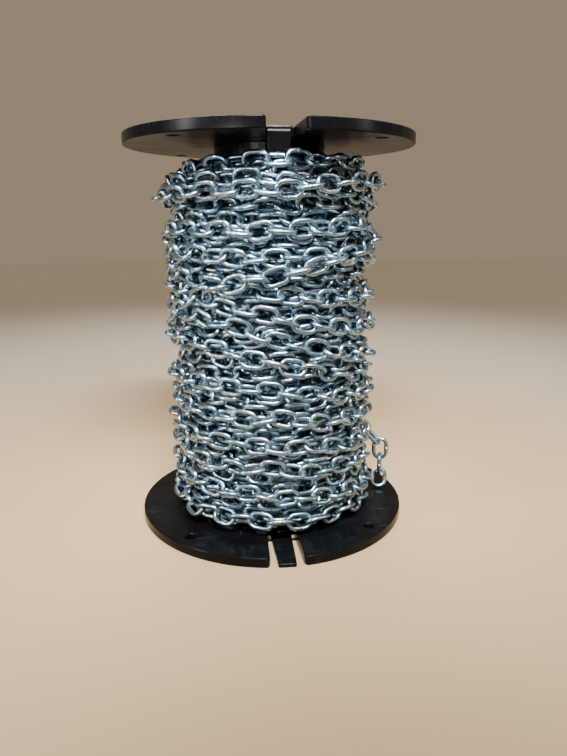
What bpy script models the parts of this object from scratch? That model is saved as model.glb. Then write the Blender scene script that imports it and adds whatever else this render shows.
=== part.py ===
"""Welded steel chain wound on a plastic reel, standing on its lower flange.

Metres, +Z up. The origin is the centre of the lower flange's underside, and the slots in
the flanges face -Y. The reel is two moulded flanges with a tube between them. The chain is
wound in layers on the tube, and a few links of its outer end hang loose beside the winding.
"""
import math

import bmesh
import bpy
from mathutils import Matrix, Vector

# Reel: two moulded flanges and a tube
REEL_HEIGHT = 0.272
FLANGE_RADIUS = 0.099
FLANGE_THICKNESS = 0.007
RIM_ROUND = 0.0012
ARBOR_RADIUS = 0.019
TUBE_RADIUS = 0.038
TUBE_WALL = 0.003
HOLE_RADIUS = 0.004
HOLE_INSET = 0.011
HOLE_COUNT = 4

# Slot in each flange, and the moulded tongue that lies or hangs in it
SLOT_DEPTH = 0.043
SLOT_WIDTH_ROOT = 0.0195
SLOT_WIDTH_MOUTH = 0.0225
MOUTH_ROUND = 0.004
TONGUE_THICKNESS = 0.003
TONGUE_WIDTH_ROOT = 0.015
TONGUE_WIDTH_TIP = 0.012
TONGUE_BEND_RADIUS = 0.0015

# Chain: welded straight links of round wire
WIRE = 0.00305
LINK_LENGTH = 0.0196
LINK_WIDTH = 0.0131

# Winding: layers of turns on the tube; the outermost turns lie apart on those below
LAYER_DEPTH = 0.0092
HIDDEN_LAYERS = 2
SHOWN_LAYERS = 2
TURN_PITCH = 0.0186
TOP_CLEARANCE = 0.0090
GROOVE_DEPTH = 0.0060
BULGE = 0.0015
BULGE_HEIGHT = 0.190
BULGE_SPREAD = 0.050
WAVE = 0.0040
RIPPLE = 0.0006

# Each turn is tilted, most of all at mid height: high on this side of the reel and low on the other
TILT_AZIMUTH = math.radians(187.0)
TILT = 0.0030
TILT_MORE = 0.0080
TILT_HEIGHT = 0.145
TILT_SPREAD = 0.040

# The last turns lie loose over the others: heights that they pass, by turns from the chain's end
LOOSE_TURNS = 2
LOOSE_LIFT = 0.0025
LOOSE_PASSES = ((0.25, 0.105), (0.5, 0.162), (0.72, 0.188), (1.0, 0.206), (1.4, 0.228))

# Loose end of the chain, which hangs beside the winding
TAIL_AZIMUTH = math.radians(9.0)
TAIL_RADIUS = 0.0900
TAIL_LEAN = math.radians(-20.0)
TAIL_TOP = 0.0515
TAIL_CLEARANCE = 0.0010

# Clearance between pieces that touch, and the faces that make a round surface
GAP = 0.0003
RIM_SEGMENTS = 96
ROUND_SEGMENTS = 54
ROW_HEIGHT = 0.0032
HOLE_SEGMENTS = 24
BEND_STEPS = 5
WIRE_SIDES = 8
BOW_STEPS = 6

# Worked out from the sizes above
SLOT_ROOT = FLANGE_RADIUS - SLOT_DEPTH
HOLE_CIRCLE = FLANGE_RADIUS - HOLE_INSET
CORE_RADIUS = TUBE_RADIUS + HIDDEN_LAYERS * LAYER_DEPTH
WINDING_RADIUS = CORE_RADIUS + SHOWN_LAYERS * LAYER_DEPTH
FLOOR = FLANGE_THICKNESS + GAP
WINDING_TOP = REEL_HEIGHT - FLANGE_THICKNESS - TOP_CLEARANCE
TURNS = round((WINDING_TOP - FLOOR) / TURN_PITCH)
LOWEST_TURN = FLOOR + LINK_WIDTH / 2
HIGHEST_TURN = WINDING_TOP - LINK_WIDTH
LINK_STEP = LINK_LENGTH - 2 * WIRE - GAP
TAIL_LEAD = 2 / ROUND_SEGMENTS

# Colours seen on the pieces: linear red, green and blue, roughness, metallic
BLACK_PLASTIC = ((0.012, 0.012, 0.015), 0.28, 0.0)
ZINC_PLATE = ((0.55, 0.60, 0.62), 0.30, 1.0)
SHADED_ZINC = ((0.10, 0.15, 0.17), 0.45, 1.0)


def clear_scene():
    """Removes every object, so that the script can be run again in one file."""
    for old in list(bpy.data.objects):
        bpy.data.objects.remove(old, do_unlink=True)


def material(name, finish):
    """One Principled material from a colour, a roughness and a metallic value."""
    colour, roughness, metallic = finish
    made = bpy.data.materials.new(name)
    made.use_nodes = True
    shader = made.node_tree.nodes["Principled BSDF"]
    shader.inputs["Base Color"].default_value = (*colour, 1.0)
    shader.inputs["Roughness"].default_value = roughness
    shader.inputs["Metallic"].default_value = metallic
    return made


def add_object(name, bm, finish):
    """Turns a finished bmesh into a named object with its own material."""
    bmesh.ops.recalc_face_normals(bm, faces=bm.faces[:])
    mesh = bpy.data.meshes.new(name)
    bm.to_mesh(mesh)
    bm.free()
    mesh.shade_smooth()
    mesh.set_sharp_from_angle(angle=math.radians(35))
    made = bpy.data.objects.new(name, mesh)
    bpy.context.scene.collection.objects.link(made)
    if finish is not None:
        made.data.materials.append(material(name, finish))
    return made


def ring_of(bm, radius_at, height_at, segments):
    """A closed ring of points about the Z axis."""
    ring = []
    for step in range(segments):
        angle = 2 * math.pi * step / segments
        radius = radius_at(angle)
        point = (radius * math.cos(angle), radius * math.sin(angle), height_at(angle))
        ring.append(bm.verts.new(point))
    return ring


def join_rings(bm, rings):
    """Walls between neighbouring rings, and from the last ring back to the first."""
    for lower, upper in zip(rings, rings[1:] + rings[:1]):
        count = len(lower)
        for step in range(count):
            after = (step + 1) % count
            bm.faces.new((lower[step], lower[after], upper[after], upper[step]))


def turned(profile, segments):
    """A solid turned about the Z axis from a closed outline of (radius, height) points."""
    bm = bmesh.new()
    rings = [ring_of(bm, lambda _, r=r: r, lambda _, z=z: z, segments) for r, z in profile]
    join_rings(bm, rings)
    return bm


def add_prism(bm, outline, low, high):
    """A closed prism between two heights, from an outline of (x, y) points."""
    bottom = [bm.verts.new((x, y, low)) for x, y in outline]
    top = [bm.verts.new((x, y, high)) for x, y in outline]
    bm.faces.new(list(reversed(bottom)))
    bm.faces.new(top)
    count = len(outline)
    for step in range(count):
        after = (step + 1) % count
        bm.faces.new((bottom[step], bottom[after], top[after], top[step]))


def cut(target, cutter, operation="DIFFERENCE"):
    """Cuts one object with another, or joins them, and leaves the other as a guide."""
    cutter.hide_render = True
    cutter.display_type = "WIRE"
    boolean = target.modifiers.new(cutter.name, "BOOLEAN")
    boolean.operation = operation
    boolean.object = cutter


def slot_half_width(distance):
    """Half of the slot's width at a distance from the axis."""
    share = (distance - SLOT_ROOT) / SLOT_DEPTH
    return (SLOT_WIDTH_ROOT + (SLOT_WIDTH_MOUTH - SLOT_WIDTH_ROOT) * share) / 2


def tongue_half_width(distance):
    """Half of the lying tongue's width at a distance from the axis."""
    share = (distance - SLOT_ROOT) / SLOT_DEPTH
    return (TONGUE_WIDTH_ROOT + (TONGUE_WIDTH_TIP - TONGUE_WIDTH_ROOT) * share) / 2


def slot_side():
    """One side of the slot from root to mouth, with the mouth's corner rounded, as (x, distance)."""
    points = [(slot_half_width(SLOT_ROOT), SLOT_ROOT)]
    start = FLANGE_RADIUS - MOUTH_ROUND
    half = slot_half_width(start)
    for step in range(BEND_STEPS + 1):
        angle = math.pi / 2 * step / BEND_STEPS
        points.append((half + MOUTH_ROUND * (1 - math.cos(angle)), start + MOUTH_ROUND * math.sin(angle)))
    points.append((half + MOUTH_ROUND, FLANGE_RADIUS + MOUTH_ROUND))
    return points


def add_slot_cutter(bm, low, high):
    """The whole slot through a flange, from one side round to the other."""
    side = slot_side()
    right = [(x, -distance) for x, distance in side]
    left = [(-x, -distance) for x, distance in reversed(side)]
    add_prism(bm, left + right, low, high)


def add_gap_cutters(bm, low, high):
    """The two gaps beside the lying tongue."""
    tip = FLANGE_RADIUS + MOUTH_ROUND
    for sign in (-1, 1):
        outer = [(sign * x, -distance) for x, distance in slot_side()]
        inner = [(sign * tongue_half_width(tip), -tip), (sign * tongue_half_width(SLOT_ROOT), -SLOT_ROOT)]
        outline = outer + inner
        add_prism(bm, outline if sign > 0 else list(reversed(outline)), low, high)


def add_hole_cutters(bm, low, high):
    """Small round holes on one circle, midway between the slot and the sides."""
    for number in range(HOLE_COUNT):
        azimuth = 2 * math.pi * (number + 0.5) / HOLE_COUNT
        centre = (HOLE_CIRCLE * math.cos(azimuth), HOLE_CIRCLE * math.sin(azimuth))
        outline = []
        for step in range(HOLE_SEGMENTS):
            angle = 2 * math.pi * step / HOLE_SEGMENTS
            outline.append((centre[0] + HOLE_RADIUS * math.cos(angle), centre[1] + HOLE_RADIUS * math.sin(angle)))
        add_prism(bm, outline, low, high)


def flange_disc(name, outer, inward):
    """A plain disc with a rounded rim and its arbor bore; outer is the height of its outer face."""
    corner = RIM_ROUND * (1 - math.sqrt(0.5))
    rim = [
        (FLANGE_RADIUS - RIM_ROUND, 0.0),
        (FLANGE_RADIUS - corner, corner),
        (FLANGE_RADIUS, RIM_ROUND),
        (FLANGE_RADIUS, FLANGE_THICKNESS - RIM_ROUND),
        (FLANGE_RADIUS - corner, FLANGE_THICKNESS - corner),
        (FLANGE_RADIUS - RIM_ROUND, FLANGE_THICKNESS),
    ]
    bore = [(ARBOR_RADIUS, FLANGE_THICKNESS), (ARBOR_RADIUS, 0.0)]
    profile = [(radius, outer + inward * depth) for radius, depth in rim + bore]
    return add_object(name, turned(profile, RIM_SEGMENTS), BLACK_PLASTIC)


def lower_flange():
    """The flange that the reel stands on, with its tongue lying flat in its slot."""
    disc = flange_disc("flange_bottom", 0.0, 1)
    below = -FLANGE_THICKNESS
    above = 2 * FLANGE_THICKNESS
    gaps = bmesh.new()
    add_gap_cutters(gaps, below, above)
    add_hole_cutters(gaps, below, above)
    cut(disc, add_object("cutter_bottom_gaps", gaps, None))
    recess = bmesh.new()
    add_slot_cutter(recess, TONGUE_THICKNESS, above)
    cut(disc, add_object("cutter_bottom_recess", recess, None))


def folded_tongue_line():
    """The hanging tongue's middle line from inside the flange's edge to its tip, as (distance, height)."""
    half = TONGUE_THICKNESS / 2
    bend = TONGUE_BEND_RADIUS + half
    top = REEL_HEIGHT - half
    line = [(SLOT_ROOT - TONGUE_THICKNESS, top)]
    for step in range(BEND_STEPS + 1):
        angle = math.pi / 2 * step / BEND_STEPS
        line.append((SLOT_ROOT + bend * math.sin(angle), top - bend * (1 - math.cos(angle))))
    drop = SLOT_DEPTH - bend * math.pi / 2
    line.append((SLOT_ROOT + bend, top - bend - drop))
    return line


def folded_tongue():
    """The upper flange's tongue, bent down at its root so that it hangs behind the chain."""
    line = folded_tongue_line()
    half = TONGUE_THICKNESS / 2
    run = 0.0
    bm = bmesh.new()
    rings = []
    for number, (distance, height) in enumerate(line):
        before = line[max(number - 1, 0)]
        after = line[min(number + 1, len(line) - 1)]
        along = Vector((after[0] - before[0], after[1] - before[1])).normalized()
        normal = Vector((-along.y, along.x)) * half
        if number > 1:
            run += math.dist(before, line[number])
        width = tongue_half_width(SLOT_ROOT + min(run, SLOT_DEPTH))
        ring = []
        for x_sign, n_sign in ((-1, -1), (1, -1), (1, 1), (-1, 1)):
            point = (x_sign * width, -(distance + n_sign * normal.x), height + n_sign * normal.y)
            ring.append(bm.verts.new(point))
        rings.append(ring)
    for lower, upper in zip(rings, rings[1:]):
        for step in range(4):
            after = (step + 1) % 4
            bm.faces.new((lower[step], lower[after], upper[after], upper[step]))
    bm.faces.new(list(reversed(rings[0])))
    bm.faces.new(rings[-1])
    return bm


def upper_flange():
    """The same moulding turned over, with its slot open and its tongue folded down."""
    disc = flange_disc("flange_top", REEL_HEIGHT, -1)
    below = REEL_HEIGHT - 2 * FLANGE_THICKNESS
    above = REEL_HEIGHT + FLANGE_THICKNESS
    slot = bmesh.new()
    add_slot_cutter(slot, below, above)
    add_hole_cutters(slot, below, above)
    cut(disc, add_object("cutter_top_slot", slot, None))
    cut(disc, add_object("guide_top_tongue", folded_tongue(), None), "UNION")


def tube():
    """The tube between the flanges, open along its bore."""
    low = FLANGE_THICKNESS + GAP
    high = REEL_HEIGHT - FLANGE_THICKNESS - GAP
    inside = TUBE_RADIUS - TUBE_WALL
    profile = [(inside, low), (TUBE_RADIUS, low), (TUBE_RADIUS, high), (inside, high)]
    add_object("barrel", turned(profile, ROUND_SEGMENTS), BLACK_PLASTIC)


def tongue_pocket():
    """The room that the hanging tongue takes in the winding."""
    line = folded_tongue_line()
    half = TONGUE_THICKNESS / 2
    far = line[-1][0] + half + GAP
    near = line[-1][0] - half - GAP
    side = TONGUE_WIDTH_ROOT / 2 + GAP
    outline = [(-side, -far), (side, -far), (side, -near), (-side, -near)]
    bm = bmesh.new()
    add_prism(bm, outline, line[-1][1] - GAP, REEL_HEIGHT)
    return add_object("cutter_tongue_pocket", bm, None)


def hidden_turns(pocket):
    """The inner layers, which nothing shows, as one plain ring on the tube."""
    inside = TUBE_RADIUS + GAP
    profile = [(inside, FLOOR), (CORE_RADIUS, FLOOR), (CORE_RADIUS, WINDING_TOP), (inside, WINDING_TOP)]
    ring = add_object("chain_inner_turns", turned(profile, ROUND_SEGMENTS), SHADED_ZINC)
    cut(ring, pocket)


def lay_height(turns):
    """Height of the chain's middle so many turns from its loose end, with the sway of hand winding."""
    passes = [(0.0, TAIL_TOP), *LOOSE_PASSES, (LOOSE_TURNS, HIGHEST_TURN)]
    passes.append((LOOSE_TURNS + TURNS, LOWEST_TURN))
    for (before, low), (after, high) in zip(passes, passes[1:]):
        if turns <= after:
            break
    height = low + (high - low) * (turns - before) / (after - before)
    if turns > LOOSE_TURNS:
        height += WAVE * (math.sin(5.2 * turns) + 0.7 * math.sin(11.9 * turns) + 0.35 * math.sin(28.9 * turns))
        tilt = TILT + TILT_MORE * math.exp(-(((height - TILT_HEIGHT) / TILT_SPREAD) ** 2))
        height += tilt * math.cos(2 * math.pi * turns + TAIL_AZIMUTH - TILT_AZIMUTH)
    return min(max(height, LOWEST_TURN), HIGHEST_TURN)


def turn_crest(turns, height):
    """Radius over the chain there; the winding is a little fuller in its upper half."""
    bulge = BULGE * math.exp(-(((height - BULGE_HEIGHT) / BULGE_SPREAD) ** 2))
    lift = LOOSE_LIFT if turns < LOOSE_TURNS else 0.0
    return WINDING_RADIUS + bulge + lift + RIPPLE * math.sin(17.0 * turns)


def winding_radius(angle, height):
    """Radius of the winding's surface: ridges where the outermost turns lie, and grooves between them."""
    radius = WINDING_RADIUS - GROOVE_DEPTH
    first = ((angle - TAIL_AZIMUTH) / (2 * math.pi) + TAIL_LEAD) % 1.0 - TAIL_LEAD
    for number in range(LOOSE_TURNS + TURNS):
        turns = first + number
        away = abs(height - lay_height(turns)) / (LINK_WIDTH / 2)
        slope = min(max((away - 0.35) / 0.8, 0.0), 1.0)
        radius = max(radius, turn_crest(turns, lay_height(turns)) - GROOVE_DEPTH * slope)
    return radius


def shown_turns(pocket):
    """The outer layers as one turned ring whose ridges are the outermost turns."""
    bm = bmesh.new()
    inside = CORE_RADIUS + GAP
    rings = [ring_of(bm, lambda _: inside, lambda _: FLOOR, ROUND_SEGMENTS)]
    rows = round((WINDING_TOP - FLOOR) / ROW_HEIGHT)
    for row in range(rows + 1):
        height = FLOOR + (WINDING_TOP - FLOOR) * row / rows
        rings.append(ring_of(bm, lambda a, z=height: winding_radius(a, z), lambda _, z=height: z, ROUND_SEGMENTS))
    rings.append(ring_of(bm, lambda _: inside, lambda _: WINDING_TOP, ROUND_SEGMENTS))
    join_rings(bm, rings)
    ring = add_object("chain_outer_turns", bm, ZINC_PLATE)
    cut(ring, pocket)


def link_outline():
    """The middle line of a link's wire: two straight sides and two half-round bows, as (along, across)."""
    bow = (LINK_WIDTH - WIRE) / 2
    straight = (LINK_LENGTH - LINK_WIDTH) / 2
    points = []
    for end in (1, -1):
        for step in range(BOW_STEPS + 1):
            angle = math.pi * (step / BOW_STEPS - 0.5)
            along = end * (straight + bow * math.cos(angle))
            across = end * bow * math.sin(angle)
            points.append((along, across, angle if end > 0 else angle + math.pi))
    return points


def link_solid():
    """One welded link: round wire along the outline, its length on X and its width on Y."""
    bm = bmesh.new()
    rings = []
    for along, across, angle in link_outline():
        outward = Vector((math.cos(angle), math.sin(angle), 0))
        ring = []
        for side in range(WIRE_SIDES):
            turn = 2 * math.pi * (side + 0.5) / WIRE_SIDES
            offset = outward * math.cos(turn) + Vector((0, 0, 1)) * math.sin(turn)
            ring.append(bm.verts.new(Vector((along, across, 0)) + offset * WIRE / 2))
        rings.append(ring)
    join_rings(bm, rings)
    return bm


def place_link(number, start, along, flat_normal):
    """Adds a link whose first bow has its wire's middle at start, and returns that of its other bow."""
    span = LINK_LENGTH - WIRE
    normal = (flat_normal - along * flat_normal.dot(along)).normalized()
    across = normal.cross(along)
    turn = Matrix((along, across, normal)).transposed().to_4x4()
    link = add_object(f"chain_end_link_{number}", link_solid(), ZINC_PLATE)
    link.matrix_world = Matrix.Translation(start + along * span / 2) @ turn
    return start + along * span


def hook(end, along, following, bends_flat=True):
    """Where the next link's first bow starts, hooked through a bow that ends at end.

    The chain bends either in the flat of the link before (bends_flat) or in that of the next one.
    """
    bow = (LINK_WIDTH - WIRE) / 2
    play = bow - WIRE - GAP
    if bends_flat:
        return end - along * bow + following * play
    return end + along * play - following * bow


def slumped(end, down, sideways):
    """The direction of the last link, whose far bow rests on the flange."""
    rest = FLOOR + WIRE / 2
    along = down
    for _ in range(6):
        drop = (hook(end, down, along).z - rest) / (LINK_LENGTH - WIRE)
        along = down * drop + sideways * math.sqrt(1 - drop**2)
    return along


def tail_seat(hang):
    """Radius at which the loose end leaves the winding, clear of the turns above and below."""
    azimuth = math.atan2(hang.y, hang.x)
    levels = [TAIL_TOP + share * LINK_WIDTH for share in (-1.0, -0.5, 0.0, 0.5)]
    return max(winding_radius(azimuth, level) for level in levels) + TAIL_CLEARANCE + WIRE / 2


def loose_end():
    """The chain's outer end: it leans out of a turn, hangs, and its last link rests on the flange."""
    hang = Vector((math.cos(TAIL_AZIMUTH), math.sin(TAIL_AZIMUTH), 0)) * TAIL_RADIUS
    out = Vector((math.cos(TAIL_LEAN), math.sin(TAIL_LEAN), 0))
    down = Vector((0, 0, -1))
    beside = down.cross(out)
    seat = tail_seat(hang)
    apart = hang.dot(out) - math.sqrt(hang.dot(out) ** 2 - hang.length**2 + seat**2)
    reach = apart / (LINK_LENGTH - WIRE)
    along = out * reach + down * math.sqrt(1 - reach**2)
    start = hang - out * apart - down * TAIL_TOP
    end = place_link(1, start, along, beside.cross(along))
    hung = int((hook(end, along, down, False).z - FLOOR - WIRE) / LINK_STEP)
    for number in range(hung):
        start = hook(end, along, down, False)
        along = down
        end = place_link(number + 2, start, along, beside if number % 2 == 0 else out)
    sideways, wide = (beside, out) if hung % 2 == 0 else (-out, beside)
    along = slumped(end, down, sideways)
    place_link(hung + 2, hook(end, down, along), along, wide.cross(along))


def main():
    """Builds the reel and the chain on it."""
    clear_scene()
    lower_flange()
    upper_flange()
    tube()
    pocket = tongue_pocket()
    hidden_turns(pocket)
    shown_turns(pocket)
    loose_end()


main()
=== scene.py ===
"""Steel chain on a plastic reel: the finish of the reel, each link of the shown turns, and the studio.

Metres, +Z up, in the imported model's own frame. The winding is worked out in millimetres.
"""
import math

import bpy
import numpy as np
from mathutils import Matrix, Vector


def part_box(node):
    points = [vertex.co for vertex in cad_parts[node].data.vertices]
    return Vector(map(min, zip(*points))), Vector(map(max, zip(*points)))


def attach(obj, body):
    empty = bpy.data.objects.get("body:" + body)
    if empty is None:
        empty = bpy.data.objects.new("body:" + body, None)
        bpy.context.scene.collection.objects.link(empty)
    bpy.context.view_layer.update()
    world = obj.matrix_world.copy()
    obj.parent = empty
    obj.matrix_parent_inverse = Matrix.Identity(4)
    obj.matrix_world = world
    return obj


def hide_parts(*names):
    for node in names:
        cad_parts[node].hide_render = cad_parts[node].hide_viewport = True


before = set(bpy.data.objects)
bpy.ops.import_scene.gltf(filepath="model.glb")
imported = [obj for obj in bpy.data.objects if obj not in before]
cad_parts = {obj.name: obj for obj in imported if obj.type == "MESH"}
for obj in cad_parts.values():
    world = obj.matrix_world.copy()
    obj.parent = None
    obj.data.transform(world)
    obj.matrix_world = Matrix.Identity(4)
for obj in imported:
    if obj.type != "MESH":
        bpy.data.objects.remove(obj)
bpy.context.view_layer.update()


# Flanges
# Two equal discs of black polypropylene, one at each end of the barrel, injection moulded with an
# arbor bore, four small holes and a radial slot. The slot's flexible tongue lies flat in the lower
# flange and is folded down behind the chain in the upper one.
MM = 0.001
FLANGE_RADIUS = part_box("flange_bottom")[1].x
FLANGE_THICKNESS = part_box("flange_bottom")[1].z
REEL_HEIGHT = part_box("flange_top")[1].z
TONGUE_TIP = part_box("flange_top")[0].z
DISC_SIDES = 180
ARBOR_RADIUS = 19 * MM
ARBOR_SIDES = 72
HOLE_RADIUS = 4 * MM
HOLE_SIDES = 32
HOLE_CIRCLE_RADIUS = 88 * MM
SLOT_ROOT = 56 * MM
SLOT_WIDTH_ROOT = 19.5 * MM
SLOT_WIDTH_MOUTH = 22.5 * MM
MOUTH_ROUND = 4 * MM
TONGUE_THICKNESS = 3 * MM
TONGUE_WIDTH_ROOT = 15 * MM
TONGUE_WIDTH_TIP = 12 * MM
TONGUE_BEND = 1.5 * MM
BEND_STEPS = 6
EDGE_ROUND = 0.9 * MM


def linear(code):
    """An sRGB hex colour as linear red, green, blue and alpha."""
    values = [int(code[place:place + 2], 16) / 255 for place in (0, 2, 4)]
    return [c / 12.92 if c <= 0.04045 else ((c + 0.055) / 1.055) ** 2.4 for c in values] + [1.0]


def waves(size):
    """A pattern's scale, from the size of one of its waves in millimetres."""
    return 1 / (size * MM)


def add_node(tree, kind, inputs=None, **settings):
    """Adds a shader node: settings are its properties, and inputs its sockets' values or links."""
    made = tree.nodes.new("ShaderNode" + kind)
    for key, value in settings.items():
        setattr(made, key, value)
    for key, value in (inputs or {}).items():
        if isinstance(value, bpy.types.NodeSocket):
            tree.links.new(value, made.inputs[key])
        else:
            made.inputs[key].default_value = value
    return made


def deselect():
    """Leaves object mode with nothing selected."""
    if bpy.context.object and bpy.context.object.mode != "OBJECT":
        bpy.ops.object.mode_set(mode="OBJECT")
    bpy.ops.object.select_all(action="DESELECT")


def moulded_black():
    """Black polypropylene, half gloss, with handling scuffs and fine scratches that catch the light."""
    made = bpy.data.materials.new("black_polypropylene_moulded")
    made.use_nodes = True
    tree = made.node_tree
    shader = tree.nodes["Principled BSDF"]
    place = add_node(tree, "TexCoord").outputs["Object"]
    # a slow change of gloss over some 40 mm, from uneven cooling and handling
    cloud = add_node(tree, "TexNoise", {"Vector": place, "Scale": waves(40), "Detail": 3.0}).outputs[0]
    # the mould's fine grain, about 0.4 mm
    grain = add_node(tree, "TexNoise", {"Vector": place, "Scale": waves(0.4), "Detail": 2.0}).outputs[0]
    # scratches some 0.3 mm wide and 15 mm long, in three directions: noise pulled out along each
    pull = (waves(16.7), waves(0.667), waves(16.7))
    scratches = None
    for turn, reach in ((0.4, 0.72), (1.5, 0.735), (2.5, 0.74)):
        pulled = add_node(tree, "Mapping", {"Vector": place, "Rotation": (0, 0, turn), "Scale": pull})
        streak = add_node(tree, "TexNoise", {"Vector": pulled.outputs[0], "Scale": 1.0, "Detail": 1.0})
        line = add_node(tree, "MapRange", {0: streak.outputs[0], 1: reach - 0.06, 2: reach + 0.03}).outputs[0]
        if scratches is None:
            scratches = line
        else:
            scratches = add_node(tree, "Math", {0: scratches, 1: line}, operation="MAXIMUM").outputs[0]
    # they show only in scuffed patches, some 22 mm across
    worn = add_node(tree, "TexNoise", {"Vector": place, "Scale": waves(22.2), "Detail": 4.0}).outputs[0]
    where = add_node(tree, "MapRange", {0: worn, 1: 0.5, 2: 0.72}).outputs[0]
    marks = add_node(tree, "Math", {0: scratches, 1: where}, operation="MULTIPLY").outputs[0]
    tint = add_node(
        tree, "Mix", {0: cloud, 6: linear("020203"), 7: linear("07080a")}, data_type="RGBA").outputs[2]
    rubbed = add_node(tree, "Mix", {0: marks, 6: tint, 7: linear("1c1f24")}, data_type="RGBA").outputs[2]
    tree.links.new(rubbed, shader.inputs["Base Color"])
    gloss = add_node(tree, "MapRange", {0: cloud, 1: 0.3, 2: 0.7, 3: 0.2, 4: 0.32}).outputs[0]
    dull = add_node(tree, "Math", {0: marks, 1: 0.3, 2: gloss}, operation="MULTIPLY_ADD").outputs[0]
    tree.links.new(dull, shader.inputs["Roughness"])
    shader.inputs["IOR"].default_value = 1.49
    # the grained, scuffed skin mirrors less than a polished one
    shader.inputs["Specular IOR Level"].default_value = 0.08
    skin = add_node(tree, "Bump", {"Height": grain, "Strength": 0.08, "Distance": 0.1 * MM})
    cut = add_node(tree, "Bump", {
        "Height": marks, "Normal": skin.outputs[0], "Strength": 0.35, "Distance": 0.1 * MM}, invert=True)
    tree.links.new(cut.outputs[0], shader.inputs["Normal"])
    return made


BLACK = moulded_black()


def carve(target, cutter, operation):
    """Cuts the target with the cutter, or joins them, and removes the cutter."""
    change = target.modifiers.new("carve", "BOOLEAN")
    change.operation = operation
    change.object = cutter
    bpy.context.view_layer.objects.active = target
    bpy.ops.object.modifier_apply(modifier=change.name)
    bpy.data.objects.remove(cutter)


def tapered_box(near, far, width_near, width_far, low, high):
    """A box from one distance to another in front of the axis, with its own width at each end."""
    deselect()
    bpy.ops.mesh.primitive_cube_add(size=1, location=(0, -(near + far) / 2, (low + high) / 2))
    made = bpy.context.object
    made.scale = (1, far - near, high - low)
    bpy.ops.object.transform_apply(location=True, rotation=True, scale=True)
    for corner in made.data.vertices:
        width = width_near if corner.co.y > -(near + far) / 2 else width_far
        corner.co.x = math.copysign(width / 2, corner.co.x)
    return made


def moulded_disc(name):
    """The flange's disc with its bore, holes and open slot, lying on the floor."""
    deselect()
    bpy.ops.mesh.primitive_cylinder_add(vertices=DISC_SIDES, radius=FLANGE_RADIUS,
                                        depth=FLANGE_THICKNESS, location=(0, 0, FLANGE_THICKNESS / 2))
    disc = bpy.context.object
    disc.name = name
    bpy.ops.object.transform_apply(location=True)
    holes = [(0.0, 0.0, ARBOR_RADIUS, ARBOR_SIDES)]
    for quarter in range(4):
        azimuth = math.pi * (quarter + 0.5) / 2
        holes.append((HOLE_CIRCLE_RADIUS * math.cos(azimuth), HOLE_CIRCLE_RADIUS * math.sin(azimuth),
                      HOLE_RADIUS, HOLE_SIDES))
    for x, y, radius, sides in holes:
        deselect()
        bpy.ops.mesh.primitive_cylinder_add(
            vertices=sides, radius=radius, depth=3 * FLANGE_THICKNESS, location=(x, y, 0))
        carve(disc, bpy.context.object, "DIFFERENCE")
    # the slot runs out past the rim at the same taper
    grow = (SLOT_WIDTH_MOUTH - SLOT_WIDTH_ROOT) * MOUTH_ROUND / (FLANGE_RADIUS - SLOT_ROOT)
    slot = tapered_box(SLOT_ROOT, FLANGE_RADIUS + MOUTH_ROUND, SLOT_WIDTH_ROOT, SLOT_WIDTH_MOUTH + grow,
                       -FLANGE_THICKNESS, 2 * FLANGE_THICKNESS)
    carve(disc, slot, "DIFFERENCE")
    round_mouth(disc)
    return disc


def round_mouth(disc):
    """Rounds the two upright corners where the slot meets the rim."""
    deselect()
    disc.select_set(True)
    bpy.context.view_layer.objects.active = disc
    bpy.ops.object.mode_set(mode="EDIT")
    bpy.ops.mesh.select_all(action="DESELECT")
    bpy.ops.object.mode_set(mode="OBJECT")
    for edge in disc.data.edges:
        ends = [disc.data.vertices[number].co for number in edge.vertices]
        upright = abs(ends[0].z - ends[1].z) > FLANGE_THICKNESS / 2
        at_mouth = ends[0].y < -0.95 * FLANGE_RADIUS and abs(abs(ends[0].x) - SLOT_WIDTH_MOUTH / 2) < 0.3 * MM
        edge.select = upright and at_mouth
    bpy.ops.object.mode_set(mode="EDIT")
    bpy.ops.mesh.select_mode(type="EDGE")
    bpy.ops.mesh.bevel(offset=MOUTH_ROUND, segments=6, affect="EDGES")
    bpy.ops.object.mode_set(mode="OBJECT")


def finish_flange(flange, node):
    """Rounds the moulding's edges, gives it its finish and puts it in the solid's place."""
    bpy.context.view_layer.objects.active = flange
    soft = flange.modifiers.new("edge", "BEVEL")
    soft.width = EDGE_ROUND
    soft.segments = 3
    soft.limit_method = "ANGLE"
    soft.angle_limit = math.radians(50)
    soft.use_clamp_overlap = False
    bpy.ops.object.modifier_apply(modifier=soft.name)
    # where the tongue leaves the slot's end, the rounding would stand a tenth of a millimetre proud
    for point in flange.data.vertices:
        point.co.z = min(point.co.z, REEL_HEIGHT)
    deselect()
    flange.select_set(True)
    bpy.context.view_layer.objects.active = flange
    bpy.ops.object.shade_smooth_by_angle(angle=math.radians(30))
    # the rounded edges take up all of the turn in the shading, and the wide faces look flat
    even = flange.modifiers.new("even", "WEIGHTED_NORMAL")
    even.keep_sharp = True
    bpy.ops.object.modifier_apply(modifier=even.name)
    flange.data.materials.append(BLACK)
    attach(flange, "root")
    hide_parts(node)


lower = moulded_disc("lower_flange")
carve(lower, tapered_box(SLOT_ROOT - TONGUE_THICKNESS, FLANGE_RADIUS, TONGUE_WIDTH_ROOT, TONGUE_WIDTH_TIP,
                         0.0, TONGUE_THICKNESS), "UNION")
finish_flange(lower, "flange_bottom")

upper = moulded_disc("upper_flange")
for point in upper.data.vertices:
    point.co.z += REEL_HEIGHT - FLANGE_THICKNESS
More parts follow.
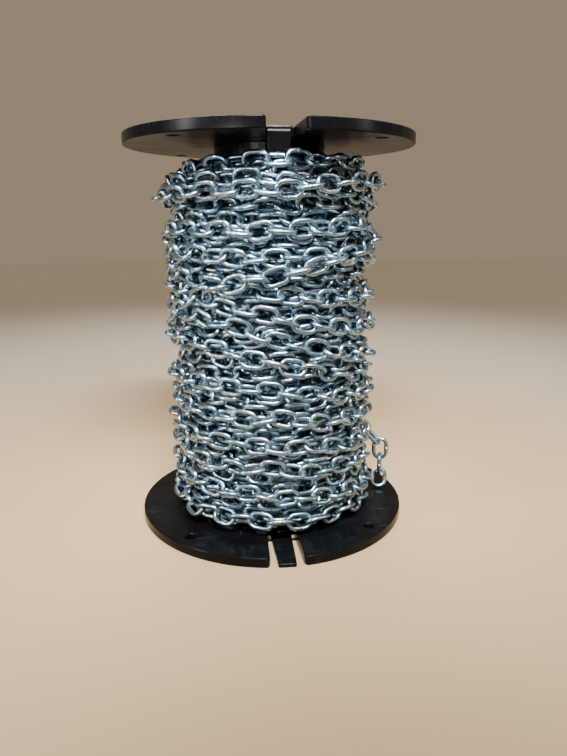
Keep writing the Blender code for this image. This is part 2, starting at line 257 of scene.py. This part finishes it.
# the tongue starts inside the slot's end, bends down and hangs straight
deselect()
bpy.ops.mesh.primitive_plane_add(size=1, rotation=(math.pi / 2, 0, 0))
hanging = bpy.context.object
hanging.location = (0, TONGUE_THICKNESS - SLOT_ROOT, REEL_HEIGHT - TONGUE_THICKNESS / 2)
hanging.scale = (TONGUE_WIDTH_ROOT, TONGUE_THICKNESS, 1)
bpy.ops.object.transform_apply(location=True, rotation=True, scale=True)
bpy.ops.object.mode_set(mode="EDIT")
bpy.ops.mesh.select_all(action="SELECT")
bpy.ops.mesh.extrude_region_move(TRANSFORM_OT_translate={"value": (0, -TONGUE_THICKNESS, 0)})
for step in range(BEND_STEPS):
    bpy.ops.mesh.extrude_region_move()
    bpy.ops.transform.rotate(value=-math.pi / 2 / BEND_STEPS, orient_axis="X", orient_type="GLOBAL",
                             center_override=(0, -SLOT_ROOT, REEL_HEIGHT - TONGUE_THICKNESS - TONGUE_BEND))
tip = (0, -SLOT_ROOT - TONGUE_BEND - TONGUE_THICKNESS / 2, TONGUE_TIP)
bpy.ops.mesh.extrude_region_move(
    TRANSFORM_OT_translate={"value": (0, 0, TONGUE_TIP - REEL_HEIGHT + TONGUE_THICKNESS + TONGUE_BEND)})
bpy.ops.transform.resize(value=(TONGUE_WIDTH_TIP / TONGUE_WIDTH_ROOT, 1, 1), center_override=tip)
bpy.ops.mesh.select_all(action="SELECT")
bpy.ops.mesh.normals_make_consistent()
bpy.ops.object.mode_set(mode="OBJECT")
carve(upper, hanging, "UNION")
finish_flange(upper, "flange_top")


# Barrel
# The plain tube between the flanges, extruded in the same black polypropylene and snapped over them.
# Only its bore shows, through the arbor bores.
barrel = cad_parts["barrel"]
barrel.data.materials.clear()
barrel.data.materials.append(BLACK)


# Shown turns
# The two outer layers and a few loose runs over them: one length of straight-link chain, 3.05 mm wire,
# electrically welded and zinc plated. Nothing fixes it but its own tension, so it's laid by letting
# rigid links settle: each link hooks the next, and all are drawn towards the reel until they touch.

# the sizes of the links and of the winding, in millimetres
WIRE = 3.05
LINK_LENGTH = 19.6
LINK_WIDTH = 13.1
BOW = (LINK_WIDTH - WIRE) / 2
STRAIGHT = (LINK_LENGTH - LINK_WIDTH) / 2
LINK_STEP = LINK_LENGTH - 2 * WIRE
WELD_SWELL = 0.12
CORE_RADIUS = 53.5
OUTER_LAYER_FROM = 62.0
WINDING_FLOOR = FLANGE_THICKNESS / MM
WINDING_CEILING = 258.5
LOWEST_LINK = WINDING_FLOOR + 5.5
HIGHEST_LINK = WINDING_CEILING - 6.5
TONGUE_OUTSIDE = 61.0
TONGUE_HALF_WIDTH = 9.5
TONGUE_FROM = TONGUE_TIP / MM - 2

# wound by hand, the turns sway in three waves and lean to one side, most near the middle height
SWAY = 4.0
SWAY_WAVES = ((5.2, 1.0), (11.9, 0.7), (28.9, 0.35))
LEAN = 3.0
LEAN_MORE = 8.0
LEAN_HEIGHT = 145.0
LEAN_REACH = 40.0
LEAN_AZIMUTH = math.radians(187.0)

# each run, from the loose end inwards: its radius, its share of the sway and lean, its wander, the
# roll of its links, and the heights that it passes after so many turns
TAIL_NODES = [f"chain_end_link_{number}" for number in (1, 2, 3, 4)]
TAIL_TURN = math.radians(9.0) / (2 * math.pi)
RUNS = (
    (79.0, 0.0, 0.3, 0.0, (
        (0, 56), (0.25, 105), (0.5, 162), (0.72, 188), (1, 206), (1.4, 228), (2, HIGHEST_LINK - 9))),
    (74.0, 1.0, 0.5, 0.0, ((0, HIGHEST_LINK - 9), (13, LOWEST_LINK))),
    (67.5, 0.0, 0.6, math.pi / 4, ((0, LOWEST_LINK), (24, HIGHEST_LINK))),
    (59.0, 0.0, 0.4, math.pi / 4, ((0, HIGHEST_LINK), (24, LOWEST_LINK))),
)


def solid_pose(node):
    """Centre and axes (along, across, normal) of a link's solid, from the spread of its points."""
    points = np.array([v.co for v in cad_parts[node].data.vertices]) / MM
    centre = points.mean(0)
    spread, axes = np.linalg.eigh(np.cov((points - centre).T))
    along, across = axes[:, 2], axes[:, 1]
    return centre, np.stack([along, across, np.cross(along, across)], axis=1)


def wander(rng, count, spacing, amount):
    """Smooth random values along the chain, with a new value every so many links."""
    knots = rng.normal(0, 1, int(count / spacing) + 4)
    place = np.arange(count) / spacing
    before = place.astype(int)
    share = place - before
    share = share * share * (3 - 2 * share)
    return amount * (knots[before] * (1 - share) + knots[before + 1] * share)


def smoothed(values, width):
    """A running mean that keeps the ends."""
    padded = np.concatenate([np.full(width, values[0]), values, np.full(width, values[-1])])
    return np.convolve(padded, np.ones(2 * width + 1) / (2 * width + 1), "valid")


def swayed(turn, level):
    """The heights with the sway and lean of winding by hand, as the solid's ridges have them."""
    past = turn - TAIL_TURN
    level = level + SWAY * sum(share * np.sin(pace * past) for pace, share in SWAY_WAVES)
    lean = LEAN + LEAN_MORE * np.exp(-(((level - LEAN_HEIGHT) / LEAN_REACH) ** 2))
    return level + lean * np.cos(2 * math.pi * turn - LEAN_AZIMUTH)


def laid_path(rng):
    """Angle, height, radius and roll of each link before it settles, from the loose end inwards."""
    turn, height, radius, roll, loose = [], [], [], [], []
    # the first wound link lies a little past the loose end's hanging links
    start = TAIL_TURN + 0.02
    for middle, sway, slack, tilt, passes in RUNS:
        # the links will be drawn some 2.5 mm inwards, so they are laid for that smaller round
        step = LINK_STEP / (2 * math.pi * (middle - 2.5))
        made = np.arange(0, passes[-1][0], step)
        turn.append(start + made)
        level = np.interp(made, [turns for turns, _ in passes], [level for _, level in passes])
        height.append(level + sway * (swayed(turn[-1], level) - level))
        radius.append(np.full(len(made), middle))
        roll.append(np.full(len(made), tilt))
        loose.append(np.full(len(made), slack))
        start += made[-1] + step
    turn, height, radius, roll, loose = (np.concatenate(part) for part in (turn, height, radius, roll, loose))
    count = len(turn)
    height = smoothed(height, 3) + loose * (
        wander(rng, count, 7.0, 1.3) + wander(rng, count, 17.0, 3.0) + wander(rng, count, 31.0, 4.0))
    radius = smoothed(radius, 3) + wander(rng, count, 5.0, 0.6)
    roll = smoothed(roll, 3) + wander(rng, count, 9.0, 0.45) + rng.normal(0, 0.15, count)
    # each link is hooked in the next a quarter turn round
    roll += np.arange(count) * math.pi / 2
    return 2 * math.pi * turn, np.clip(height, LOWEST_LINK, HIGHEST_LINK), radius, roll


def first_poses(rng):
    """Centres and axes (along, across, normal) of the links as laid along the path, from the inside out."""
    angle, height, radius, roll = (values[::-1] for values in laid_path(rng))
    centre = np.stack([radius * np.cos(angle), radius * np.sin(angle), height], axis=1)
    along = np.gradient(centre, axis=0)
    along /= np.linalg.norm(along, axis=1)[:, None]
    out = np.stack([np.cos(angle), np.sin(angle), 0 * angle], axis=1)
    out -= along * (out * along).sum(1)[:, None]
    out /= np.linalg.norm(out, axis=1)[:, None]
    side = np.cross(along, out)
    across = out * np.cos(roll)[:, None] + side * np.sin(roll)[:, None]
    return centre, np.stack([along, across, np.cross(along, across)], axis=2)


BEADS = 22


def wire_beads():
    """Evenly spaced points on a link's middle line."""
    total = 4 * STRAIGHT + 2 * math.pi * BOW
    points = []
    for number in range(BEADS):
        run = (number + 0.5) * total / BEADS
        half = run % (total / 2)
        sign = 1 if run < total / 2 else -1
        if half < 2 * STRAIGHT:
            points.append((sign * (half - STRAIGHT), -sign * BOW, 0))
        else:
            turn = (half - 2 * STRAIGHT) / BOW - math.pi / 2
            points.append((sign * (STRAIGHT + BOW * math.cos(turn)), sign * BOW * math.sin(turn), 0))
    return np.array(points)


LINK_BEADS = wire_beads()
# how hard a link is to turn about each of its own axes, in square millimetres; the half steadies it
INERTIA = 0.5 + np.array([
    (LINK_BEADS[:, 1] ** 2).mean(), (LINK_BEADS[:, 0] ** 2).mean(), (LINK_BEADS ** 2).sum(1).mean()])


def turned_by(turns, axes):
    """The axes, each set turned by its own rotation vector."""
    angle = np.linalg.norm(turns, axis=1)
    x, y, z = (turns / np.maximum(angle, 1e-12)[:, None]).T
    zero = np.zeros(len(turns))
    cross = np.stack([zero, -z, y, z, zero, -x, -y, x, zero], axis=1).reshape(-1, 3, 3)
    sine = np.sin(angle)[:, None, None]
    rest = (1 - np.cos(angle))[:, None, None]
    return (np.eye(3) + sine * cross + rest * (cross @ cross)) @ axes


def near_pairs(points, owner, reach):
    """Pairs of beads of different links that are closer than reach, found by cells of that size."""
    cell = np.floor(points / reach).astype(np.int64)
    cell -= cell.min(0) - 1
    size = cell.max(0) + 2
    key = (cell[:, 0] * size[1] + cell[:, 1]) * size[2] + cell[:, 2]
    order = np.argsort(key, kind="stable")
    ordered = key[order]
    firsts, seconds = [], []
    for dx in (0, 1):
        for dy in (-1, 0, 1):
            for dz in (-1, 0, 1):
                if (dx, dy, dz) < (0, 0, 0):
                    continue
                wanted = key + (dx * size[1] + dy) * size[2] + dz
                low = np.searchsorted(ordered, wanted, "left")
                count = np.searchsorted(ordered, wanted, "right") - low
                first = np.repeat(np.arange(len(points)), count)
                start = np.repeat(low - np.concatenate([[0], np.cumsum(count)[:-1]]), count)
                second = order[start + np.arange(len(first))]
                keep = owner[first] != owner[second]
                if (dx, dy, dz) == (0, 0, 0):
                    keep &= first < second
                first, second = first[keep], second[keep]
                gap = points[first] - points[second]
                keep = (gap * gap).sum(1) < reach * reach
                firsts.append(first[keep])
                seconds.append(second[keep])
    return np.concatenate(firsts), np.concatenate(seconds)


def add_rows(target, index, values):
    """Adds rows of values to the target's rows, also where an index repeats."""
    for column in range(3):
        target[:, column] += np.bincount(index, values[:, column], len(target))


def walls(points, thick):
    """How deep each bead is in the inner turns, either flange and the tongue, and the way out of each."""
    radius = np.linalg.norm(points[:, :2], axis=1)
    out = np.zeros_like(points)
    out[:, :2] = points[:, :2] / radius[:, None]
    up = np.tile([0.0, 0.0, 1.0], (len(points), 1))
    ahead = np.tile([0.0, -1.0, 0.0], (len(points), 1))
    at_tongue = (np.abs(points[:, 0]) < TONGUE_HALF_WIDTH) & (points[:, 1] < 0)
    at_tongue &= points[:, 2] > TONGUE_FROM
    return (
        (CORE_RADIUS + thick / 2 - radius, out),
        (WINDING_FLOOR + thick / 2 - points[:, 2], up),
        (points[:, 2] + thick / 2 - WINDING_CEILING, -up),
        (np.where(at_tongue, TONGUE_OUTSIDE + thick / 2 + points[:, 1], -1.0), ahead),
    )


# how the links settle, in millimetres a round and in shares of the rounds or of the wire
ROUNDS = 200
DRAWN_IN = 0.025
DRAWN_DOWN = 0.004
DRAWN_UNTIL = 0.8
THIN_START = 0.35
GROWN_AFTER = 0.45
TOUCH_ROOM = 0.08
CALM = 1.6
PAIRS_EVERY = 4
PAIRS_REACH = WIRE + 1.4
HOOK_PULL = 0.9
HOOK_PUSH = 0.15


def lever(who, arm, push, axes, free):
    """A push's turning effect in each link's own axes, and how easily the link gives way to it."""
    local = np.einsum("nij,ni->nj", axes[who], np.cross(arm, push))
    return local, free[who] * (1 + (local * local / INERTIA).sum(1))


def push_apart(centre, axes, free, arm, points, pairs, thick):
    """Moves and turns the links out of each other and out of the reel, by their beads that are in."""
    count = len(centre)
    owner = np.repeat(np.arange(count), BEADS)
    move, turn, hits = np.zeros((count, 3)), np.zeros((count, 3)), np.zeros(count)
    first, second = pairs
    gap = points[first] - points[second]
    length = np.sqrt((gap * gap).sum(1)) + 1e-9
    hit = thick > length
    first, second, push = first[hit], second[hit], (gap / length[:, None])[hit]
    one, other = owner[first], owner[second]
    spin_one, ease_one = lever(one, arm[first], push, axes, free)
    spin_other, ease_other = lever(other, arm[second], push, axes, free)
    share = (thick - length[hit]) / np.maximum(ease_one + ease_other, 1e-9)
    add_rows(move, one, push * share[:, None])
    add_rows(move, other, -push * share[:, None])
    add_rows(turn, one, spin_one / INERTIA * share[:, None])
    add_rows(turn, other, -spin_other / INERTIA * share[:, None])
    hits += np.bincount(one, minlength=count) + np.bincount(other, minlength=count)
    for depths, way in walls(points, thick):
        inside = np.nonzero((depths > 0) & (free[owner] > 0))[0]
        who = owner[inside]
        spin, ease = lever(who, arm[inside], way[inside], axes, free)
        share = depths[inside] / np.maximum(ease, 1e-9)
        add_rows(move, who, way[inside] * share[:, None])
        add_rows(turn, who, spin / INERTIA * share[:, None])
        hits += np.bincount(who, minlength=count)
    # a link with many touching beads takes a part of each one's push
    calm = free * CALM / np.maximum(hits, CALM)
    centre += move * calm[:, None]
    return turned_by(np.einsum("nij,nj->ni", axes, turn * calm[:, None]), axes)


def keep_hooked(centre, axes, free):
    """Brings the middles of the two bows that meet in each hook back to their distance."""
    for start in (0, 1):
        one = np.arange(start, len(centre) - 1, 2)
        other = one + 1
        arm_one, arm_other = axes[one, :, 0] * STRAIGHT, -axes[other, :, 0] * STRAIGHT
        gap = centre[other] + arm_other - centre[one] - arm_one
        length = np.linalg.norm(gap, axis=1)
        slack = length - (LINK_STEP - 2 * STRAIGHT)
        # chain pulls but hardly pushes
        slack = np.where(slack > 0, slack, HOOK_PUSH * slack)
        pull = gap / length[:, None]
        spin_one, ease_one = lever(one, arm_one, pull, axes, free)
        spin_other, ease_other = lever(other, arm_other, pull, axes, free)
        share = HOOK_PULL * slack / np.maximum(ease_one + ease_other, 1e-9)
        centre[one] += pull * (share * free[one])[:, None]
        centre[other] -= pull * (share * free[other])[:, None]
        spin_one = spin_one / INERTIA * (share * free[one])[:, None]
        spin_other = -spin_other / INERTIA * (share * free[other])[:, None]
        axes[one] = turned_by(np.einsum("nij,nj->ni", axes[one], spin_one), axes[one])
        axes[other] = turned_by(np.einsum("nij,nj->ni", axes[other], spin_other), axes[other])


def settle(centre, axes, held):
    """Draws the links inwards, pushes them apart where they touch and keeps neighbours hooked."""
    owner = np.repeat(np.arange(len(centre)), BEADS)
    free = np.where(held, 0.0, 1.0)
    for number in range(ROUNDS):
        # the wire starts thin, so that crossed links can slip past each other, and grows to its size
        thick = WIRE * min(1.0, THIN_START + (1 - THIN_START) * number / (GROWN_AFTER * ROUNDS)) + TOUCH_ROOM
        if number < DRAWN_UNTIL * ROUNDS:
            radius = np.linalg.norm(centre[:, :2], axis=1)
            centre[:, :2] -= centre[:, :2] * (free * DRAWN_IN / radius)[:, None]
        centre[:, 2] -= DRAWN_DOWN * free
        for half in range(2):
            arm = np.einsum("nij,bj->nbi", axes, LINK_BEADS).reshape(-1, 3)
            points = arm + np.repeat(centre, BEADS, axis=0)
            if number % PAIRS_EVERY == 0 and half == 0:
                pairs = near_pairs(points, owner, PAIRS_REACH)
            axes = push_apart(centre, axes, free, arm, points, pairs, thick)
            keep_hooked(centre, axes, free)
    return centre, axes


def wound_chain():
    """Centres and axes of every shown link, the four links of the loose end last."""
    rng = np.random.default_rng(7)
    centre, axes = first_poses(rng)
    tail = [solid_pose(node) for node in TAIL_NODES]
    tail_centre = np.array([place for place, _ in tail])
    tail_axes = np.array([turn for _, turn in tail])
    # a held link's long axis points away from the link before it
    before = np.concatenate([centre[-1:] + [0, 0, 6], tail_centre[:-1]])
    flip = np.sign(((tail_centre - before) * tail_axes[:, :, 0]).sum(1))
    tail_axes[:, :, 0] *= flip[:, None]
    tail_axes[:, :, 1] *= flip[:, None]
    centre, axes = np.concatenate([centre, tail_centre]), np.concatenate([axes, tail_axes])
    held = np.arange(len(centre)) >= len(centre) - len(tail)
    return settle(centre, axes, held)


# a wire drawn with six flat sides is a little thicker over its corners than the round one
FACETED = 1.1
SAME_PLACE = 0.01


def modelled_link(name, sides):
    """One link, modelled as a ring that is parted and drawn out, with the weld's swelling on one side."""
    deselect()
    bpy.ops.mesh.primitive_torus_add(
        major_segments=12, minor_segments=sides, major_radius=BOW,
        minor_radius=WIRE / 2 * FACETED, generate_uvs=False)
    link = bpy.context.object
    link.name = name
    bpy.ops.object.mode_set(mode="EDIT")
    bpy.ops.mesh.select_all(action="DESELECT")
    bpy.ops.object.mode_set(mode="OBJECT")
    for face in link.data.polygons:
        face.select = face.center.x > 0
    bpy.ops.object.mode_set(mode="EDIT")
    bpy.ops.mesh.split()
    bpy.ops.transform.translate(value=(2 * STRAIGHT, 0, 0))
    for side, cuts in ((1, 0), (-1, 1)):
        bpy.ops.mesh.select_all(action="DESELECT")
        bpy.ops.object.mode_set(mode="OBJECT")
        for edge in link.data.edges:
            ends = [link.data.vertices[number].co for number in edge.vertices]
            at_cut = all(min(abs(p.x), abs(p.x - 2 * STRAIGHT)) < SAME_PLACE and p.y * side > 0 for p in ends)
            edge.select = at_cut and abs(ends[0].x - ends[1].x) < SAME_PLACE
        bpy.ops.object.mode_set(mode="EDIT")
        bpy.ops.mesh.select_mode(type="EDGE")
        bpy.ops.mesh.bridge_edge_loops(number_cuts=cuts)
    bpy.ops.object.mode_set(mode="OBJECT")
    for point in link.data.vertices:
        point.co.x -= STRAIGHT
        if abs(point.co.x) < SAME_PLACE:
            point.co.y += WELD_SWELL * (point.co.y + BOW)
            point.co.z *= 1 + WELD_SWELL
    return link


def join_links(name, link, centre, axes, rng):
    """Copies of the modelled link, one at each pose, joined in one piece, each with its own tone."""
    shape = np.array([v.co for v in link.data.vertices])
    count = len(shape)
    faces = np.array([list(face.vertices) for face in link.data.polygons])
    # a link is laid with its weld on either side
    flips = rng.integers(0, 2, len(centre)) * 2.0 - 1
    turned = axes * np.stack([np.ones(len(centre)), flips, flips], axis=1)[:, None, :]
    points = (np.einsum("nij,vj->nvi", turned, shape) + centre[:, None]).reshape(-1, 3) * MM
    copies = (faces[None] + (np.arange(len(centre)) * count)[:, None, None]).reshape(-1, faces.shape[1])
    mesh = bpy.data.meshes.new(name)
    mesh.from_pydata(points.tolist(), [], copies.tolist())
    tone = mesh.attributes.new("tone", "FLOAT", "POINT")
    tone.data.foreach_set("value", np.repeat(rng.random(len(centre)), count).astype(np.float32))
    weld = mesh.attributes.new("weld", "FLOAT", "POINT")
    at_weld = np.abs(shape[:, 0]) < SAME_PLACE
    weld.data.foreach_set("value", np.tile(at_weld, len(centre)).astype(np.float32))
    mesh.shade_smooth()
    piece = bpy.data.objects.new(name, mesh)
    bpy.context.scene.collection.objects.link(piece)
    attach(piece, "root")
    return piece


def zinc_plated():
    """Bright zinc plate on drawn and welded wire: a blue-white metal, slightly uneven, duller at the weld."""
    made = bpy.data.materials.new("zinc_plated_steel_wire")
    made.use_nodes = True
    tree = made.node_tree
    shader = tree.nodes["Principled BSDF"]
    place = add_node(tree, "TexCoord").outputs["Object"]
    tone = add_node(tree, "Attribute", attribute_name="tone").outputs["Fac"]
    weld = add_node(tree, "Attribute", attribute_name="weld").outputs["Fac"]
    # each link hung at its own place in the bath, and is a little bluer or greyer than the next
    hue = add_node(
        tree, "Mix", {0: tone, 6: linear("69889a"), 7: linear("849bab")}, data_type="RGBA").outputs[2]
    # clouds some 2.4 mm across, where the plate is thinner
    cloud = add_node(tree, "TexNoise", {"Vector": place, "Scale": waves(2.38), "Detail": 3.0}).outputs[0]
    thin = add_node(tree, "MapRange", {0: cloud, 1: 0.5, 2: 0.75, 4: 0.35}).outputs[0]
    metal = add_node(tree, "Mix", {0: thin, 6: hue, 7: linear("3e5058")}, data_type="RGBA").outputs[2]
    # the attribute falls from one at the weld to nothing at the bows: the burnt seam is its narrow top
    burnt = add_node(tree, "MapRange", {0: weld, 1: 0.84, 2: 0.93, 4: 0.8}).outputs[0]
    colour = add_node(tree, "Mix", {0: burnt, 6: metal, 7: linear("55524f")}, data_type="RGBA").outputs[2]
    tree.links.new(colour, shader.inputs["Base Color"])
    shader.inputs["Metallic"].default_value = 1.0
    satin = add_node(tree, "MapRange", {0: cloud, 1: 0.3, 2: 0.7, 3: 0.27, 4: 0.31}).outputs[0]
    rough = add_node(tree, "Math", {0: burnt, 1: 0.25, 2: satin}, operation="MULTIPLY_ADD").outputs[0]
    tree.links.new(rough, shader.inputs["Roughness"])
    # the clear passivation over the zinc is smoother than the zinc itself
    shader.inputs["Coat Weight"].default_value = 1.0
    shader.inputs["Coat Roughness"].default_value = 0.06
    # the collar of pressed-out metal beside the weld, and dents of handling some 1.4 mm across
    collar = add_node(tree, "MapRange", {0: weld, 1: 0.66, 2: 0.78}).outputs[0]
    ring = add_node(tree, "Bump", {"Height": collar, "Strength": 1.0, "Distance": 0.3 * MM})
    dents = add_node(tree, "TexNoise", {"Vector": place, "Scale": waves(1.43), "Detail": 1.0}).outputs[0]
    relief = add_node(tree, "Bump", {
        "Height": dents, "Normal": ring.outputs[0], "Strength": 0.03, "Distance": 0.1 * MM})
    tree.links.new(relief.outputs[0], shader.inputs["Normal"])
    return made


ZINC = zinc_plated()
centre, axes = wound_chain()
rng = np.random.default_rng(11)
link_shape = modelled_link("link_pattern", 6)
tail_start = len(centre) - len(TAIL_NODES)
outer_start = int(np.argmax(smoothed(np.linalg.norm(centre[:, :2], axis=1), 10) > OUTER_LAYER_FROM))
halfway = (outer_start + tail_start) // 2
for name, first, last in (("chain_under_layer", 0, outer_start),
                          ("chain_middle_layer", outer_start, halfway),
                          ("chain_outer_layer", halfway, tail_start)):
    piece = join_links(name, link_shape, centre[first:last], axes[first:last], rng)
    piece.data.materials.append(ZINC)
# the last of them, the outermost, takes the place of the solid ring
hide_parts("chain_outer_turns")


# Loose end
# The chain's outer end: four links of the same zinc-plated wire that hang beside the winding, the last
# of them just over the lower flange. Only the links before them hold them.
loose_end = join_links("chain_loose_end", link_shape, centre[tail_start:], axes[tail_start:], rng)
loose_end.data.materials.append(ZINC)
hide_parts(*TAIL_NODES)
bpy.data.objects.remove(link_shape)


# Inner turns
# The layers of the same chain that lie hidden on the barrel. Only their shade shows between the outer
# links, so they are one sleeve of zinc-plated steel with a ridge for each turn.
INNER_RISE = 8.5 * MM
INNER_ROOM = 0.3 * MM
FURROW = 3 * MM
SLEEVE_SIDES = 72
# a ridge's outline from one furrow to the next: the share of its rise, and how deep it is under the crest
RIDGE = ((0.25, 0.4 * MM), (0.5, 0.0), (0.75, 0.4 * MM), (1.0, FURROW))
inner_low, inner_high = (corner.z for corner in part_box("chain_inner_turns"))
inner_turns = int((inner_high - inner_low) / INNER_RISE)
rise = (inner_high - inner_low) / inner_turns
crest = CORE_RADIUS * MM - INNER_ROOM
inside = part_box("barrel")[1].x + INNER_ROOM
outline = [(crest - FURROW, inner_low)]
for number in range(inner_turns):
    for share, sink in RIDGE:
        outline.append((crest - sink, inner_low + (number + share) * rise))
outline.append((inside, inner_high))
deselect()
bpy.ops.mesh.primitive_circle_add(vertices=SLEEVE_SIDES, radius=inside, location=(0, 0, inner_low))
inner = bpy.context.object
inner.name = "chain_inner_layers"
bpy.ops.object.transform_apply(location=True)
bpy.ops.object.mode_set(mode="EDIT")
here, level = inside, inner_low
for wide, tall in outline:
    bpy.ops.mesh.extrude_edges_move()
    bpy.ops.transform.resize(value=(wide / here, wide / here, 1), center_override=(0, 0, 0))
    bpy.ops.transform.translate(value=(0, 0, tall - level))
    here, level = wide, tall
bpy.ops.mesh.select_all(action="SELECT")
bpy.ops.mesh.delete_loose()
bpy.ops.object.mode_set(mode="OBJECT")
bpy.ops.object.shade_smooth()
inner.data.materials.append(ZINC)
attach(inner, "root")
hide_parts("chain_inner_turns")


# Stage
# A plain pale floor, soft light from above and the front, and the camera at the photograph's angle.
deselect()
bpy.ops.mesh.primitive_circle_add(vertices=96, radius=3.0, fill_type="NGON", location=(0, 0, 0))
floor = bpy.context.object
floor.name = "studio_floor"
pale = bpy.data.materials.new("pale_matt_floor")
pale.use_nodes = True
tree = pale.node_tree
shader = tree.nodes["Principled BSDF"]
# painted light: far from the reel the floor is painted lighter, where the lamps' narrow spread leaves it less
# lit, and darker near the reel under their pool, so that it meets the room's tone at the horizon
place = add_node(tree, "TexCoord").outputs["Object"]
from_middle = add_node(tree, "VectorMath", {0: place}, operation="LENGTH").outputs["Value"]
far = add_node(
    tree, "MapRange", {0: from_middle, 1: 0.2, 2: 1.1}, interpolation_type="SMOOTHSTEP").outputs[0]
# painted light: the floor's colour goes from the darker tone under the lamps to the lighter one beyond them
shade = add_node(
    tree, "Mix", {0: far, 6: linear("8d7858"), 7: linear("fffaf2")}, data_type="RGBA").outputs[2]
tree.links.new(shade, shader.inputs["Base Color"])
shader.inputs["Roughness"].default_value = 0.75
floor.data.materials.append(pale)

world = bpy.data.worlds.new("studio")
world.use_nodes = True
room = world.node_tree.nodes["Background"]
room.inputs["Color"].default_value = linear("b8a68a")
room.inputs["Strength"].default_value = 0.65
bpy.context.scene.world = world


def add_light(name, position, target, width, height, power, spread):
    """A soft, slightly warm rectangular light that faces a point; its spread keeps it off the far floor."""
    lamp = bpy.data.lights.new(name, "AREA")
    lamp.shape = "RECTANGLE"
    lamp.size = width
    lamp.size_y = height
    lamp.energy = power
    lamp.color = (1.0, 0.96, 0.92)
    lamp.spread = math.radians(spread)
    holder = bpy.data.objects.new(name, lamp)
    holder.location = position
    holder.rotation_euler = (Vector(target) - Vector(position)).to_track_quat("-Z", "Y").to_euler()
    bpy.context.scene.collection.objects.link(holder)


MIDDLE = (0.0, 0.0, REEL_HEIGHT / 2)
add_light("overhead", (0.0, -0.65, 0.9), MIDDLE, 0.8, 0.02, 9.2, 50)
add_light("front", (-0.6, -0.95, 0.22), (0.0, 0.0, 1.1 * REEL_HEIGHT), 0.8, 0.03, 0.5, 22)
add_light("left", (-0.9, -0.4, 0.45), MIDDLE, 0.08, 0.6, 0.9, 40)
add_light("right", (0.9, -0.4, 0.45), MIDDLE, 0.08, 0.6, 0.2, 40)
add_light("back", (0.0, 0.6, 0.9), MIDDLE, 0.6, 0.1, 1.2, 50)

# the camera that the photograph's own lines give: its focal length is 631 px, in a frame 756 px high
CAMERA_DISTANCE = 461.4 * MM
CAMERA_HEIGHT = 218 * MM
CAMERA_RIGHT = 9.2 * MM
CAMERA_PITCH = math.radians(14.23)
CAMERA_ROLL = math.radians(-0.19)
CAMERA_TURN = math.radians(6.8)
FRAME_HEIGHT_PX = 756
FOCAL_PX = 631
SENSOR_HEIGHT = 36.0
lens = bpy.data.cameras.new("photo_view")
lens.sensor_fit = "VERTICAL"
lens.sensor_height = SENSOR_HEIGHT
lens.lens = SENSOR_HEIGHT * FOCAL_PX / FRAME_HEIGHT_PX
lens.clip_start = 0.01
camera = bpy.data.objects.new("photo_view", lens)
bpy.context.scene.collection.objects.link(camera)
away = Vector((-math.sin(CAMERA_TURN), -math.cos(CAMERA_TURN), 0))
right = Vector((-away.y, away.x, 0))
camera.location = away * CAMERA_DISTANCE + right * CAMERA_RIGHT + Vector((0, 0, CAMERA_HEIGHT))
tilt = Matrix.Rotation(math.pi / 2 - CAMERA_PITCH, 3, "X") @ Matrix.Rotation(CAMERA_ROLL, 3, "Z")
camera.rotation_euler = (Matrix.Rotation(-CAMERA_TURN, 3, "Z") @ tilt).to_euler()
bpy.context.scene.camera = camera
